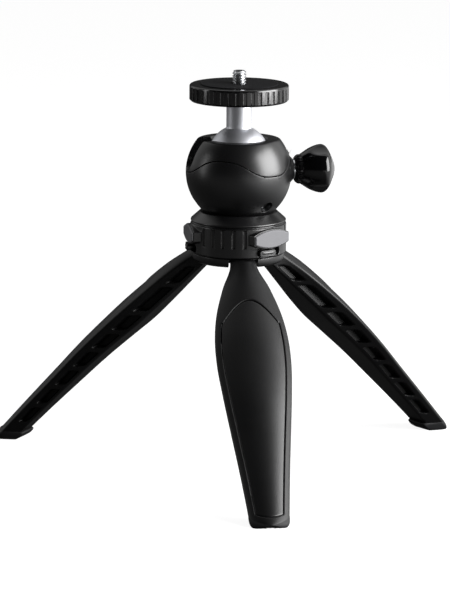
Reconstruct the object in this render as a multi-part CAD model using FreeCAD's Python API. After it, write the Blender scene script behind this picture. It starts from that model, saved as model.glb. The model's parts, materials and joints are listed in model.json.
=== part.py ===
import FreeCAD
import Part
import math
import os

V = FreeCAD.Vector

# Sizes in millimetres. The floor is z = 0, the column stands on +Z and the front leg points to -Y.

# Legs
leg_splay = 42.5
leg_reach = 147.3
pivot_radius = 12.3
knuckle_radius = 4.0
knuckle_half_width = 6.1
knuckle_side_gap = 0.4
pin_radius = 1.25
pin_half_length = 11.5
leg_angles = {"front": -90, "right": 30, "left": 150}

leg_half_width = 16.0
leg_depth = 8.8

# Leg sections: share of the reach, then half width, height of the edges over the leg's axis,
# bulge of the outer face, depth and inner half width, as shares of the leg's half width or depth
leg_sections = [
    (0.020, 0.381, 0.227, 0.386, 0.682, 0.300),
    (0.060, 0.381, 0.250, 0.432, 0.727, 0.306),
    (0.150, 0.638, 0.318, 0.580, 0.864, 0.388),
    (0.258, 0.894, 0.341, 0.636, 0.955, 0.556),
    (0.340, 0.988, 0.352, 0.648, 1.000, 0.625),
    (0.434, 1.000, 0.341, 0.625, 0.932, 0.619),
    (0.543, 0.925, 0.307, 0.591, 0.852, 0.562),
    (0.679, 0.794, 0.193, 0.534, 0.773, 0.481),
    (0.815, 0.662, 0.091, 0.466, 0.727, 0.400),
    (1.060, 0.456, -0.148, 0.352, 0.670, 0.294),
]
panel_start = 25.0
panel_arch = 10.0
panel_end_share = 0.955
panel_margin = 2.4
panel_seam = 0.15
panel_step = 0.45
panel_thickness = 0.85
pocket_start = 12.5
pocket_first_web = 25.5
pocket_long_bay = 20.0
pocket_pitch = 14.3
pocket_web = 3.6
pocket_upper_share = 0.34
pocket_lower_share = 0.82
pocket_floor_inset = 1.2
foot_height = 4.0
foot_toe_height = 1.9
foot_toe_slope = 7.0
foot_toe_overhang = 1.7
foot_toe_chamfer = 2.1
foot_heel_lip = 1.2
foot_side_lip = 0.15

# Leg hub
hub_radius = 20.8
hub_core_radius = 18.2
hub_drop = 4.8
hub_brim_thickness = 3.0
hub_edge = 1.6
hub_plate = 1.7
hub_stop_wall = 1.5
hub_recess_radius = 6.4
hub_recess_depth = 3.9
stop_gap = 0.05

# Pan bearing, pan lock and grip ring
running_gap = 0.05
friction_washer_thickness = 0.7
friction_washer_bore = 7.0
spigot_radius = 5.5
bolt_radius = 3.0
bolt_gap = 0.05
bolt_head_radius = 4.9
bolt_head_height = 2.9
bolt_socket_flats = 5.0
bolt_socket_depth = 1.8
bolt_grip = 5.7
bolt_tip_gap = 0.5
bolt_washer_thickness = 0.8
bolt_washer_radius = 6.2
ring_radius = 21.7
ring_floor_gap = 0.3
ring_wall = 1.8
ring_seam = 0.5
ring_edge = 0.35
lock_ring_wall = 1.3
lock_ring_height = 4.6
flange_radius = 21.6
flange_core_radius = 17.1
flange_top_radius = 17.6
flange_rim_height = 0.9
flange_edge = 0.4
flange_slope_height = 3.6
flange_height = 10.2
rib_groove_pitch = 13.2
rib_groove_count = 5
rib_groove_width = 1.3
rib_groove_depth = 0.6
rib_groove_height = 8.0
pad_plane = 23.5
pad_thickness = 0.9
pad_half_length = 10.0
pad_half_height = 4.0
pad_end_half_height = 1.8
pad_bevel = 0.4
pad_border = 0.4
pad_height_in_ring = 8.6
window_half_angle = 17.5
window_bottom = 0.6
window_height = 3.6
window_corner = 1.6
tab_radius = 23.9
tab_angle = 21.0
tab_start_angle = -17.0
tab_side_gap = 0.4
tab_corner = 1.1

# Ball housing
head_turn = 4.5
shell_wall = 6.9
housing_drop = 17.8
housing_opening_height = 15.15
housing_shoulder = 1.7
shell_floor = 2.0
rim_radius = 13.4
lip_radius = 12.65
seam_mean = 4.2
seam_wave = 3.9
seam_squareness = 0.09
seam_gap = 0.35
seam_points = 48
core_wall = 1.3
core_top = 5.6
core_base_radius = 14.0
core_gap = 0.05
shell_screw_radius = 1.5
shell_screw_head_radius = 2.5
shell_screw_head_height = 2.5
shell_screw_bore = 3.0
shell_screw_sink = 2.5
shell_screw_tip_radius = 11.4
shell_screw_tip_gap = 0.5
shell_screw_angle = 36.0

# Ball, neck and socket
ball_radius = 13.75
ball_rise = 7.5
ball_gap = 0.3
ball_bearing_gap = 0.05
neck_radius = 5.7
neck_flare = 0.4
neck_flare_height = 0.6
neck_length = 24.8
notch_gap = 0.5
cup_thickness = 1.8
cup_pocket_gap = 0.1
cup_edge_drop = 10.6
cup_hole_radius = 3.5
pocket_edge_drop = 3.6
seat_low = 1.0
seat_high = 3.8
seat_radius = 15.2
seat_gap = 0.05

# Clamp and knob
clamp_drop = 7.0
shoe_radius = 3.2
shoe_length = 4.7
boss_radius = 6.75
boss_proud = 0.9
boss_chamfer = 2.0
bush_radius = 3.9
bush_length = 6.2
bush_flange_radius = 4.4
bush_flange_thickness = 0.6
lock_screw_radius = 2.5
lock_screw_depth = 12.0
knob_gap = 0.1
knob_neck_radius = 6.7
knob_neck_length = 2.8
knob_neck_chamfer = 1.9
knob_radius = 11.0
knob_length = 18.4
knob_flutes = 4
knob_flute_radius = 7.0
knob_flute_depth = 1.3
knob_flute_turn = 45
knob_teeth = 18
knob_tooth_radius = 0.7

# Knob outline behind its neck: share of the way to the end, share of the widest radius
knob_outline = [(0.0, 0.61), (0.22, 0.81), (0.40, 0.93), (0.62, 1.0), (0.77, 0.89), (0.90, 0.57), (1.0, 0.24)]

# Camera disc and screw
screw_radius = 3.175
screw_proud = 6.1
screw_shank_radius = 3.0
screw_sunk = 8.0
screw_chamfer = 0.6
press_gap = 0.02
disc_radius = 22.4
disc_thickness = 7.6
disc_ribs = 40
disc_groove_angle = 3.6
disc_groove_depth = 0.5
disc_groove_low = 0.9
disc_groove_high = 1.3
disc_edge = 0.8
disc_pad_radius = 17.6
disc_pad_thickness = 1.2
disc_pad_proud = 0.4
disc_pad_bore = 3.7
insert_radius = 5.6

# Heights that follow from the sizes above
splay = math.radians(leg_splay)
pivot_height = leg_reach * math.sin(splay)
hub_bottom = pivot_height - hub_drop
brim_top = hub_bottom + hub_brim_thickness
stop_height = brim_top - ring_floor_gap
slot_top = pivot_height + knuckle_radius + knuckle_side_gap
hub_top = slot_top + hub_plate
recess_top = hub_bottom + hub_recess_depth
ring_bottom = brim_top + ring_floor_gap
flange_bottom = hub_top + friction_washer_thickness
flange_top = flange_bottom + flange_height
rim_top = flange_top - flange_slope_height
ring_top = rim_top - flange_rim_height
housing_height = flange_top + housing_drop
housing_top = housing_height + housing_opening_height
ball_height = housing_height + ball_rise
core_bottom = flange_top + shell_floor
clamp_height = ball_height - clamp_drop
disc_bottom = ball_height + neck_length
disc_top = disc_bottom + disc_thickness
pad_top = disc_top + disc_pad_proud
slot_half_width = knuckle_half_width + knuckle_side_gap
slot_inner = pivot_radius - knuckle_radius - knuckle_side_gap
notch_radius = neck_radius + notch_gap
bearing_radius = ball_radius + ball_bearing_gap
cup_radius = bearing_radius + cup_thickness
pocket_radius = cup_radius + cup_pocket_gap
core_radius = pocket_radius + core_wall
housing_radius = core_radius + shell_wall
boss_end = housing_radius + boss_proud
third_turn = 120
far = 60.0
small = 0.1


def wire(place, start, *steps):
    """A closed wire: each step is the end of a line, or the middle and the end of an arc."""
    edges = []
    here = start
    for step in steps + (start,):
        if isinstance(step[0], tuple):
            middle, end = step
            edges.append(Part.Arc(place(*here), place(*middle), place(*end)).toShape())
        else:
            end = step
            if (place(*here) - place(*end)).Length > 1e-6:
                edges.append(Part.makeLine(place(*here), place(*end)))
        here = end
    return Part.Wire(edges)


def spun(start, *steps, angle=360):
    """A profile of radius and height turned about the column's axis."""
    face = Part.Face(wire(lambda r, z: V(r, 0, z), start, *steps))
    return face.revolve(V(0, 0, 0), V(0, 0, 1), angle)


def spun_about_x(height, start, *steps):
    """A profile of distance and radius turned about the knob's axis."""
    face = Part.Face(wire(lambda x, r: V(x, 0, height + r), start, *steps))
    return face.revolve(V(0, 0, height), V(1, 0, 0), 360)


def upright(radius, low, high):
    return Part.makeCylinder(radius, high - low, V(0, 0, low))


def tube(inner, outer, low, high):
    return upright(outer, low, high).cut(upright(inner, low, high))


def sideways(radius, near, end, height):
    return Part.makeCylinder(radius, end - near, V(near, 0, height), V(1, 0, 0))


def block(x_low, x_high, y_half, low, high):
    return Part.makeBox(x_high - x_low, 2 * y_half, high - low, V(x_low, -y_half, low))


def ball(radius, height):
    return Part.makeSphere(radius, V(0, 0, height))


def turned(shape, angle):
    copy = shape.copy()
    copy.rotate(V(0, 0, 0), V(0, 0, 1), angle)
    return copy


def thirds(shape, first=60):
    return [turned(shape, first + third_turn * k) for k in range(3)]


def leg_place(along, across, out):
    """A point of a leg that points to +X: along its axis, across it, and out from its axis."""
    x = pivot_radius + along * math.cos(splay) + out * math.sin(splay)
    z = pivot_height - along * math.sin(splay) + out * math.cos(splay)
    return V(x, across, z)


def leg_section(along):
    """The leg's half width, edge height, bulge, depth and inner half width, between the table's rows."""
    share = along / leg_reach
    rows = leg_sections
    for low, high in zip(rows, rows[1:]):
        if share <= high[0] or high is rows[-1]:
            part = (share - low[0]) / (high[0] - low[0])
            width, edge, bulge, depth, inner = [a + part * (b - a) for a, b in zip(low[1:], high[1:])]
            return (width * leg_half_width, edge * leg_depth, bulge * leg_depth, depth * leg_depth,
                    inner * leg_half_width)


def leg_loft(side_extra=0.0, inner_extra=0.0):
    wires = []
    for row in leg_sections:
        along = row[0] * leg_reach
        width, edge, bulge, depth, inner = leg_section(along)
        half = width + side_extra
        inner_half = inner + side_extra
        inner_out = edge - depth - inner_extra
        wires.append(wire(
            lambda u, v: leg_place(along, u, v),
            (-half, edge), ((0, edge + bulge), (half, edge)),
            (inner_half, inner_out), (-inner_half, inner_out)))
    return Part.makeLoft(wires, True, False, False, 3)


def panel_prism(inset):
    """The panel's outline, an arch at the top and sides that follow the leg, as a deep prism."""
    top = panel_start + inset
    end = panel_end_share * leg_reach - inset
    shoulder = panel_start + panel_arch
    stations = [shoulder + (end - shoulder) * k / 6 for k in range(7)]
    sides = [(s, leg_section(s)[0] - panel_margin - inset) for s in stations]
    low = -far

    def place(along, across):
        return leg_place(along, across, low)

    right = Part.BSplineCurve()
    right.interpolate([place(*side) for side in sides])
    left = Part.BSplineCurve()
    left.interpolate([place(s, -u) for s, u in reversed(sides)])
    first = sides[0]
    last = sides[-1]
    arch = Part.Arc(place(first[0], -first[1]), place(top, 0), place(*first))
    bottom = Part.makeLine(place(*last), place(last[0], -last[1]))
    outline = Part.Wire([arch.toShape(), right.toShape(), bottom, left.toShape()])
    return Part.Face(outline).extrude((leg_place(0, 0, 1) - leg_place(0, 0, 0)) * 2 * far)


def pocket_prism(begin, end):
    """One flank pocket: its ends lie level when the leg is spread, its floor faces the flank."""
    width, edge, bulge, depth, inner = leg_section((begin + end) / 2)
    upper = edge - pocket_upper_share * depth
    lower = edge - pocket_lower_share * depth
    floor = inner - pocket_floor_inset
    lean = (upper - lower) / 2 / math.tan(splay)
    outline = wire(
        lambda a, v: leg_place(a, floor, v),
        (begin - lean, lower), (end - lean, lower), (end + lean, upper), (begin + lean, upper))
    return Part.Face(outline).extrude(V(0, far, 0))


def flank_pockets():
    foot = panel_end_share * leg_reach
    webs = [pocket_first_web]
    while webs[-1] < foot - pocket_pitch:
        webs.append(webs[-1] + (pocket_long_bay if len(webs) == 1 else pocket_pitch))
    starts = [pocket_start - pocket_web / 2] + webs[:-1]
    prisms = []
    for begin, end in zip(starts, webs):
        near = pocket_prism(begin + pocket_web / 2, end - pocket_web / 2)
        prisms += [near, near.mirror(V(0, 0, 0), V(0, 1, 0))]
    return prisms


def foot_ends():
    """How far from the column the foot's toe lies, and a heel that is well inside it."""
    toe = pivot_radius + leg_reach * math.cos(splay) + foot_toe_overhang
    heel = toe - far
    return heel, toe


def foot_prism():
    heel, toe = foot_ends()
    outline = wire(
        lambda x, z: V(x, -far, z),
        (heel, 0), (toe - foot_toe_chamfer, 0), (toe, foot_toe_height),
        (toe - foot_toe_slope, foot_height), (heel, foot_height))
    return Part.Face(outline).extrude(V(0, 2 * far, 0))


def foot_cutter():
    heel, toe = foot_ends()
    outline = wire(
        lambda x, z: V(x, -far, z),
        (heel, -far), (toe + far, -far), (toe + far, foot_toe_height), (toe, foot_toe_height),
        (toe - foot_toe_slope, foot_height), (heel, foot_height))
    return Part.Face(outline).extrude(V(0, 2 * far, 0))


def make_leg_eye():
    """The hinge eye round the pin. It ends on the leg's flat upper end and under the hub's stop."""
    half = knuckle_half_width
    reach = knuckle_radius
    stop = stop_height - stop_gap
    along = leg_sections[0][0] * leg_reach
    width, edge, bulge, depth, inner = leg_section(along)
    corner = leg_place(along, 0, edge - depth)
    level = leg_place(along, 0, (stop - leg_place(along, 0, 0).z) / math.cos(splay))
    tangent = reach * math.sqrt(0.5)
    outline = wire(
        lambda x, z: V(x, -half, z),
        (pivot_radius + reach, pivot_height), (pivot_radius + reach, stop), (level.x, stop),
        (corner.x, corner.z),
        (pivot_radius - tangent, pivot_height - tangent),
        ((pivot_radius - tangent, pivot_height + tangent), (pivot_radius + reach, pivot_height)))
    eye = Part.Face(outline).extrude(V(0, 2 * half, 0))
    return eye.cut(pin_cylinder(pin_radius + running_gap, far))


def pin_cylinder(radius, half_length, extra=0.0):
    return Part.makeCylinder(
        radius, 2 * half_length + extra, V(pivot_radius, -half_length, pivot_height), V(0, 1, 0))


def make_leg():
    whole = leg_loft()
    out = leg_place(0, 0, 1) - leg_place(0, 0, 0)
    lowered = whole.copy()
    lowered.translate(out * -(panel_step + panel_thickness))
    surface = whole.copy()
    surface.translate(out * -panel_step)
    stop_trim = block(pivot_radius, pivot_radius + far, far, stop_height - stop_gap, pivot_height + far)
    leg = whole.cut(stop_trim).cut(panel_prism(0).cut(lowered))
    leg = leg.cut(flank_pockets())
    leg = leg.cut(foot_cutter())
    panel = panel_prism(panel_seam).common(surface).cut(lowered)
    foot = leg_loft(foot_side_lip, foot_heel_lip).common(foot_prism())
    pin = pin_cylinder(pin_radius, pin_half_length)
    return {"leg": leg, "leg_eye": make_leg_eye(), "leg_panel": panel, "foot": foot, "hinge_pin": pin}


def make_hub():
    edge = hub_edge
    bore = spigot_radius + running_gap
    core = hub_core_radius
    hub = spun(
        (bore, recess_top), (hub_recess_radius, recess_top), (hub_recess_radius, hub_bottom),
        (hub_radius - edge, hub_bottom), (hub_radius - edge / 3, hub_bottom + edge / 3),
        (hub_radius, hub_bottom + edge), (hub_radius, brim_top), (core, brim_top), (core, hub_top),
        (bore, hub_top))
    slot = block(slot_inner, core - hub_stop_wall, slot_half_width, hub_bottom - 1, slot_top)
    slot = slot.fuse(block(slot_inner, far, slot_half_width, hub_bottom - 1, stop_height))
    hole = pin_cylinder(pin_radius + press_gap, pin_half_length, far)
    slots = [turned(slot, angle) for angle in leg_angles.values()]
    holes = [turned(hole, angle) for angle in leg_angles.values()]
    return hub.cut(slots + holes)


def make_pan_bolt():
    head_low = recess_top - bolt_washer_thickness - bolt_head_height
    bolt = upright(bolt_head_radius, head_low, head_low + bolt_head_height)
    bolt = bolt.fuse(upright(bolt_radius, head_low, core_bottom + bolt_grip))
    corner = bolt_socket_flats / math.sqrt(3)
    turns = [math.radians(60 * k) for k in range(7)]
    points = [V(corner * math.cos(turn), corner * math.sin(turn), head_low) for turn in turns]
    socket = Part.Face(Part.makePolygon(points)).extrude(V(0, 0, bolt_socket_depth))
    return bolt.cut(socket)


def make_pan_washer():
    return tube(bolt_radius + bolt_gap, bolt_washer_radius, recess_top - bolt_washer_thickness, recess_top)


def make_friction_washer():
    return tube(friction_washer_bore, flange_core_radius, hub_top, flange_bottom)


def make_flange():
    bore = bolt_radius + bolt_gap
    return spun(
        (bore, recess_top + small), (spigot_radius, recess_top + small), (spigot_radius, flange_bottom),
        (flange_core_radius, flange_bottom), (flange_core_radius, ring_top),
        (flange_radius - flange_edge, ring_top), (flange_radius, ring_top + flange_edge),
        (flange_radius, rim_top), (flange_top_radius, flange_top),
        (bore, flange_top))


def lens_face(x, border=0.0):
    """A pad's outline: an arc above and below between short upright ends."""
    length = pad_half_length + border
    height = pad_half_height + border
    end = pad_end_half_height + border
    middle = ring_bottom + pad_height_in_ring
    return Part.Face(wire(
        lambda y, z: V(x, y, middle + z),
        (-length, -end), ((0, -height), (length, -end)), (length, end), ((0, height), (-length, end))))


def make_grip_pad():
    inner = pad_plane - pad_thickness
    pad = lens_face(inner).extrude(V(pad_thickness, 0, 0))
    rim = [edge for edge in pad.Edges if abs(edge.BoundBox.XMin - pad_plane) < 0.01]
    return pad.makeChamfer(pad_bevel, rim)


def window_cutter():
    low = ring_bottom + window_bottom
    inner = ring_radius - ring_wall - lock_ring_wall
    cutter = spun(
        (inner, low), (pad_plane, low), (pad_plane, low + window_height), (inner, low + window_height),
        angle=2 * window_half_angle)
    cutter = cutter.makeFillet(window_corner, radial_edges(cutter))
    return turned(cutter, -window_half_angle)


def radial_edges(shape):
    """Straight level edges that point away from the column."""
    found = []
    for edge in shape.Edges:
        box = edge.BoundBox
        straight = isinstance(edge.Curve, Part.Line)
        if straight and box.ZLength < 1e-4:
            found.append(edge)
    return found


def make_grip_ring():
    inner = ring_radius - ring_wall
    wall = hub_core_radius + ring_floor_gap
    boss_top = ring_bottom + lock_ring_height
    bore = flange_core_radius + press_gap
    edge = ring_edge
    blank = spun(
        (inner, ring_bottom), (ring_radius - edge, ring_bottom), (ring_radius, ring_bottom + edge),
        (ring_radius, ring_top - ring_seam - edge), (ring_radius - edge, ring_top - ring_seam),
        (ring_radius - 2 * edge, ring_top - ring_seam), (ring_radius - 2 * edge, ring_top), (bore, ring_top),
        (bore, flange_bottom + small), (wall, flange_bottom + small), (wall, boss_top), (inner, boss_top))
    root = flange_core_radius + 1
    boss = lens_face(root, pad_border).extrude(V(pad_plane - pad_thickness - root, 0, 0))
    ring = blank.fuse(thirds(boss)).cut(upright(inner, ring_bottom - 1, boss_top))
    ring = ring.cut(upright(wall, boss_top - 1, flange_bottom + small))
    ring = ring.cut(thirds(window_cutter()))
    groove_low = ring_bottom + lock_ring_height + small
    groove = block(ring_radius - rib_groove_depth, far, rib_groove_width / 2, groove_low,
                   groove_low + rib_groove_height)
    middle = (rib_groove_count - 1) / 2
    grooves = []
    for gap in range(3):
        for k in range(rib_groove_count):
            grooves.append(turned(groove, third_turn * gap + (k - middle) * rib_groove_pitch))
    return ring.cut(grooves)


def make_pan_lock_ring():
    inner = hub_core_radius + running_gap
    outer = inner + lock_ring_wall
    low = brim_top + stop_gap
    tab_low = ring_bottom + window_bottom + tab_side_gap
    tab_high = tab_low + window_height - 2 * tab_side_gap
    ring = tube(inner, outer, low, ring_bottom + lock_ring_height - ring_floor_gap)
    root = outer - lock_ring_wall / 3
    tab = spun((root, tab_low), (tab_radius, tab_low), (tab_radius, tab_high), (root, tab_high),
               angle=tab_angle)
    tab = turned(tab.makeFillet(tab_corner, radial_edges(tab)), tab_start_angle)
    return ring.fuse(thirds(tab))


def housing_blank():
    """The outer form of both shells: a sphere cut flat above and below, with a round shoulder."""
    blank = ball(housing_radius, housing_height).common(upright(far, flange_top, housing_top))
    shoulder = [edge for edge in blank.Edges if abs(edge.BoundBox.ZMax - housing_top) < 0.01
                and edge.BoundBox.ZLength < 0.01]
    blank = blank.makeFillet(housing_shoulder, shoulder)
    opening = spun((0, ball_height), (lip_radius, ball_height + core_top), (rim_radius, housing_top),
                   (rim_radius, housing_top + small), (0, housing_top + small))
    return blank.cut(opening)


def core_blank(gap=0.0):
    top = ball_height + core_top
    dome = ball(core_radius + gap, ball_height).common(upright(far, core_bottom, top))
    base_top = ball_height - math.sqrt(core_radius ** 2 - core_base_radius ** 2)
    return dome.fuse(upright(core_base_radius + gap, core_bottom, base_top))


def above_seam(lift):
    """Everything above the seam, a wave of three flat-topped crests, moved up by a lift."""
    def crest_line(radius):
        points = []
        for k in range(seam_points):
            angle = 2 * math.pi * k / seam_points
            wave = math.cos(3 * angle) - seam_squareness * math.cos(9 * angle)
            height = housing_height + seam_mean + seam_wave * wave + lift
            points.append(V(radius * math.cos(angle), radius * math.sin(angle), height))
        curve = Part.BSplineCurve()
        curve.interpolate(points, PeriodicFlag=True)
        return curve.toShape()

    surface = Part.makeRuledSurface(crest_line(core_radius / 2), crest_line(housing_radius * 1.25))
    return surface.extrude(V(0, 0, far))


def neck_notch():
    """The slot that the neck drops into, on the side away from the knob."""
    inside = -ball_radius / 3
    slot = sideways(notch_radius, -far, inside, ball_height)
    return slot.fuse(block(-far, inside, notch_radius, ball_height, ball_height + far))


def shoe_bore():
    inside = ball_radius / 3
    return sideways(shoe_radius + running_gap, inside, boss_end - bush_length, clamp_height)


def shell_screw_line(distance):
    """A point on a slanted screw's axis, by its depth below the housing's round surface."""
    slope = math.radians(shell_screw_angle)
    radius = housing_radius - distance
    return V(radius * math.cos(slope), 0, housing_height - radius * math.sin(slope))


def slanted(radius, begin, end):
    start = shell_screw_line(begin)
    return Part.makeCylinder(radius, end - begin, start, shell_screw_line(end) - start)


def make_shell_screws():
    head_end = shell_screw_sink + shell_screw_head_height
    screw = slanted(shell_screw_head_radius, shell_screw_sink, head_end)
    screw = screw.fuse(slanted(shell_screw_radius, head_end, housing_radius - shell_screw_tip_radius))
    return Part.makeCompound(thirds(screw))


def screw_holes(bore_radius):
    head_end = shell_screw_sink + shell_screw_head_height
    tip = housing_radius - shell_screw_tip_radius + shell_screw_tip_gap
    hole = slanted(shell_screw_bore, -shell_wall, head_end)
    return thirds(hole.fuse(slanted(bore_radius, head_end, tip)))


def make_core():
    core = core_blank()
    pocket = ball(pocket_radius, ball_height).common(
        upright(far, ball_height - far, ball_height - pocket_edge_drop))
    groove = upright(seat_radius, ball_height + seat_low, ball_height + seat_high)
    thread = upright(bolt_radius + press_gap, core_bottom, core_bottom + bolt_grip + bolt_tip_gap)
    chamber = ball(ball_radius + ball_gap, ball_height)
    core = core.cut([chamber, pocket, groove, thread, neck_notch(), shoe_bore()])
    return core.cut(screw_holes(shell_screw_radius + press_gap))


def make_upper_shell():
    shell = housing_blank().common(above_seam(seam_gap / 2))
    return shell.cut([core_blank(core_gap), neck_notch()])


def make_lower_shell():
    boss = spun_about_x(clamp_height, (core_base_radius, 0), (core_base_radius, boss_radius),
                        (boss_end - boss_chamfer, boss_radius), (boss_end, boss_radius - boss_chamfer),
                        (boss_end, 0))
    shell = housing_blank().cut(above_seam(-seam_gap / 2)).fuse(boss)
    bush_hole = sideways(bush_radius + press_gap, boss_end - bush_length, boss_end + 1, clamp_height)
    bolt_hole = upright(bolt_radius + bolt_gap, flange_top - 1, core_bottom + 1)
    shell = shell.cut([core_blank(core_gap), shoe_bore(), bush_hole, bolt_hole])
    return shell.cut(screw_holes(shell_screw_radius + bolt_gap))


def make_seat_ring():
    low = ball_height + seat_low + seat_gap
    high = ball_height + seat_high - seat_gap
    ring = upright(seat_radius - seat_gap, low, high)
    return ring.cut([ball(bearing_radius, ball_height), neck_notch()])


def make_ball_cup():
    cup = ball(cup_radius, ball_height).cut(ball(bearing_radius, ball_height))
    cup = cup.common(upright(far, ball_height - far, ball_height - cup_edge_drop))
    return cup.cut(upright(cup_hole_radius, ball_height - far, ball_height))


def make_ball_stem():
    """The ball with its neck. A short flare joins them, and the camera screw is pressed in above."""
    foot_radius = neck_radius + neck_flare
    foot = ball_height + math.sqrt(ball_radius ** 2 - foot_radius ** 2)
    bore = screw_shank_radius + press_gap
    return spun(
        (0, ball_height - ball_radius), ((ball_radius, ball_height), (foot_radius, foot)),
        (neck_radius, foot + neck_flare_height), (neck_radius, disc_bottom),
        (bore, disc_bottom), (bore, disc_bottom - screw_sunk), (0, disc_bottom - screw_sunk))


def make_camera_screw():
    low = disc_bottom - screw_sunk
    high = disc_top + screw_proud
    return spun((0, low), (screw_shank_radius, low), (screw_shank_radius, pad_top), (screw_radius, pad_top),
                (screw_radius, high - screw_chamfer), (screw_radius - screw_chamfer, high), (0, high))


def make_disc_insert():
    top = pad_top - disc_pad_thickness - small
    return tube(screw_shank_radius + running_gap, insert_radius, disc_bottom, top)


def make_disc():
    inner = insert_radius + press_gap
    edge = disc_edge
    pad_floor = pad_top - disc_pad_thickness
    wall = disc_pad_radius + press_gap
    disc = spun(
        (inner, disc_bottom), (disc_radius - edge, disc_bottom), (disc_radius, disc_bottom + edge),
        (disc_radius, disc_top - edge), (disc_radius - edge / 3, disc_top - edge / 3),
        (disc_radius - edge, disc_top), (wall, disc_top), (wall, pad_floor), (inner, pad_floor))
    pitch = 360 / disc_ribs
    half = disc_radius * math.sin(math.radians(disc_groove_angle / 2))
    groove = block(disc_radius - disc_groove_depth, far, half, disc_bottom + disc_groove_low,
                   disc_top - disc_groove_high)
    return disc.cut([turned(groove, pitch * (k + 0.5)) for k in range(disc_ribs)])


def make_disc_pad():
    return tube(disc_pad_bore, disc_pad_radius, pad_top - disc_pad_thickness, pad_top)


def make_clamp_shoe():
    front = math.sqrt(bearing_radius ** 2 - clamp_drop ** 2)
    shoe = sideways(shoe_radius, 0, front + shoe_length, clamp_height)
    return shoe.cut(ball(bearing_radius, ball_height))


def make_knob_bush():
    bush = sideways(bush_radius, boss_end - bush_length, boss_end, clamp_height)
    bush = bush.fuse(sideways(bush_flange_radius, boss_end, boss_end + bush_flange_thickness, clamp_height))
    return bush.cut(sideways(lock_screw_radius + running_gap, 0, far, clamp_height))


def knob_start():
    return boss_end + bush_flange_thickness + knob_gap


def make_lock_screw():
    front = math.sqrt(bearing_radius ** 2 - clamp_drop ** 2) + shoe_length + stop_gap
    return sideways(lock_screw_radius, front, knob_start() + lock_screw_depth, clamp_height)


def make_knob():
    start = knob_start()
    neck_end = start + knob_neck_length
    bulb_length = knob_length - knob_neck_length
    wires = []
    for share, radius_share in knob_outline:
        centre = V(neck_end + share * bulb_length, 0, clamp_height)
        wires.append(Part.Wire(Part.makeCircle(radius_share * knob_radius, centre, V(1, 0, 0))))
    bulb = Part.makeLoft(wires, True, False, False, 3)
    flute_offset = knob_radius - knob_flute_depth + knob_flute_radius
    flute = Part.makeCylinder(knob_flute_radius, far, V(neck_end, -flute_offset, clamp_height), V(1, 0, 0))
    flute.rotate(V(0, 0, clamp_height), V(1, 0, 0), knob_flute_turn)
    bulb = bulb.cut(about_knob_axis(flute, knob_flutes))
    neck = spun_about_x(
        clamp_height, (start, 0), (start, knob_neck_radius - knob_neck_chamfer),
        (start + knob_neck_chamfer, knob_neck_radius), (neck_end, knob_neck_radius), (neck_end, 0))
    tooth = Part.makeCylinder(
        knob_tooth_radius, knob_length, V(start - 1, -knob_neck_radius, clamp_height), V(1, 0, 0))
    neck = neck.cut(about_knob_axis(tooth, knob_teeth))
    bore = sideways(lock_screw_radius + press_gap, start - 1, start + lock_screw_depth, clamp_height)
    return neck.fuse(bulb).cut(bore)


def about_knob_axis(shape, count):
    copies = []
    for k in range(count):
        copy = shape.copy()
        copy.rotate(V(0, 0, clamp_height), V(1, 0, 0), 360 / count * k)
        copies.append(copy)
    return copies


def build():
    parts = {"leg_hub": make_hub(), "pan_friction_washer": make_friction_washer()}
    pieces = make_leg()
    for name, angle in leg_angles.items():
        for piece, shape in pieces.items():
            parts[piece + "_" + name] = turned(shape, angle)
    head = {
        "pan_bolt": make_pan_bolt(),
        "pan_washer": make_pan_washer(),
        "pan_flange": make_flange(),
        "grip_ring": make_grip_ring(),
        "pan_lock_ring": make_pan_lock_ring(),
        "lower_shell": make_lower_shell(),
        "upper_shell": make_upper_shell(),
        "socket_core": make_core(),
        "shell_screws": make_shell_screws(),
        "seat_ring": make_seat_ring(),
        "ball_cup": make_ball_cup(),
        "ball_stem": make_ball_stem(),
        "camera_screw": make_camera_screw(),
        "disc_insert": make_disc_insert(),
        "camera_disc": make_disc(),
        "disc_pad": make_disc_pad(),
        "clamp_shoe": make_clamp_shoe(),
        "knob_bush": make_knob_bush(),
        "lock_screw": make_lock_screw(),
        "lock_knob": make_knob(),
    }
    for name, pad in zip(("back_right", "left", "front_right"), thirds(make_grip_pad())):
        head["grip_pad_" + name] = pad
    for name, shape in head.items():
        parts[name] = turned(shape, head_turn)
    return parts


def main():
    os.makedirs("parts", exist_ok=True)
    for name, shape in build().items():
        solids = shape.Solids
        whole = solids[0] if len(solids) == 1 else Part.makeCompound(solids)
        whole.exportStep("parts/" + name + ".step")
        print(name, len(solids), "solid", round(whole.Volume, 1), "mm3", whole.isValid())


main()
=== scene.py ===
import json
import math

import bmesh
import bpy
import numpy as np
from mathutils import Matrix


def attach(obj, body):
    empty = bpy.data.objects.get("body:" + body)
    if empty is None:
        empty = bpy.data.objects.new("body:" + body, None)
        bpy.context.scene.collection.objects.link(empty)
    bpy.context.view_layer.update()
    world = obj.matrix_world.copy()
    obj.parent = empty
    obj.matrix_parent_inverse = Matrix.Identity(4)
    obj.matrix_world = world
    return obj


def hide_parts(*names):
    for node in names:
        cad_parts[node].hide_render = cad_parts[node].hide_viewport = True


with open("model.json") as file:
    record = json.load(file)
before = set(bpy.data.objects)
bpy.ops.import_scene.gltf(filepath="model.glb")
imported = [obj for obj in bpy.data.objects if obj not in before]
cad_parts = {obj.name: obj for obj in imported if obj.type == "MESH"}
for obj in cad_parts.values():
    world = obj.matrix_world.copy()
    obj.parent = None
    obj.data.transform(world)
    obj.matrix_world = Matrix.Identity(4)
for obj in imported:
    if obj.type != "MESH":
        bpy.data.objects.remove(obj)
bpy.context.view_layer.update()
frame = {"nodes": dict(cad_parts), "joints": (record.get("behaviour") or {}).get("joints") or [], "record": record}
nodes = frame["nodes"]
joints = {joint["name"]: joint for joint in frame["joints"]}
scene = bpy.context.scene
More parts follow.
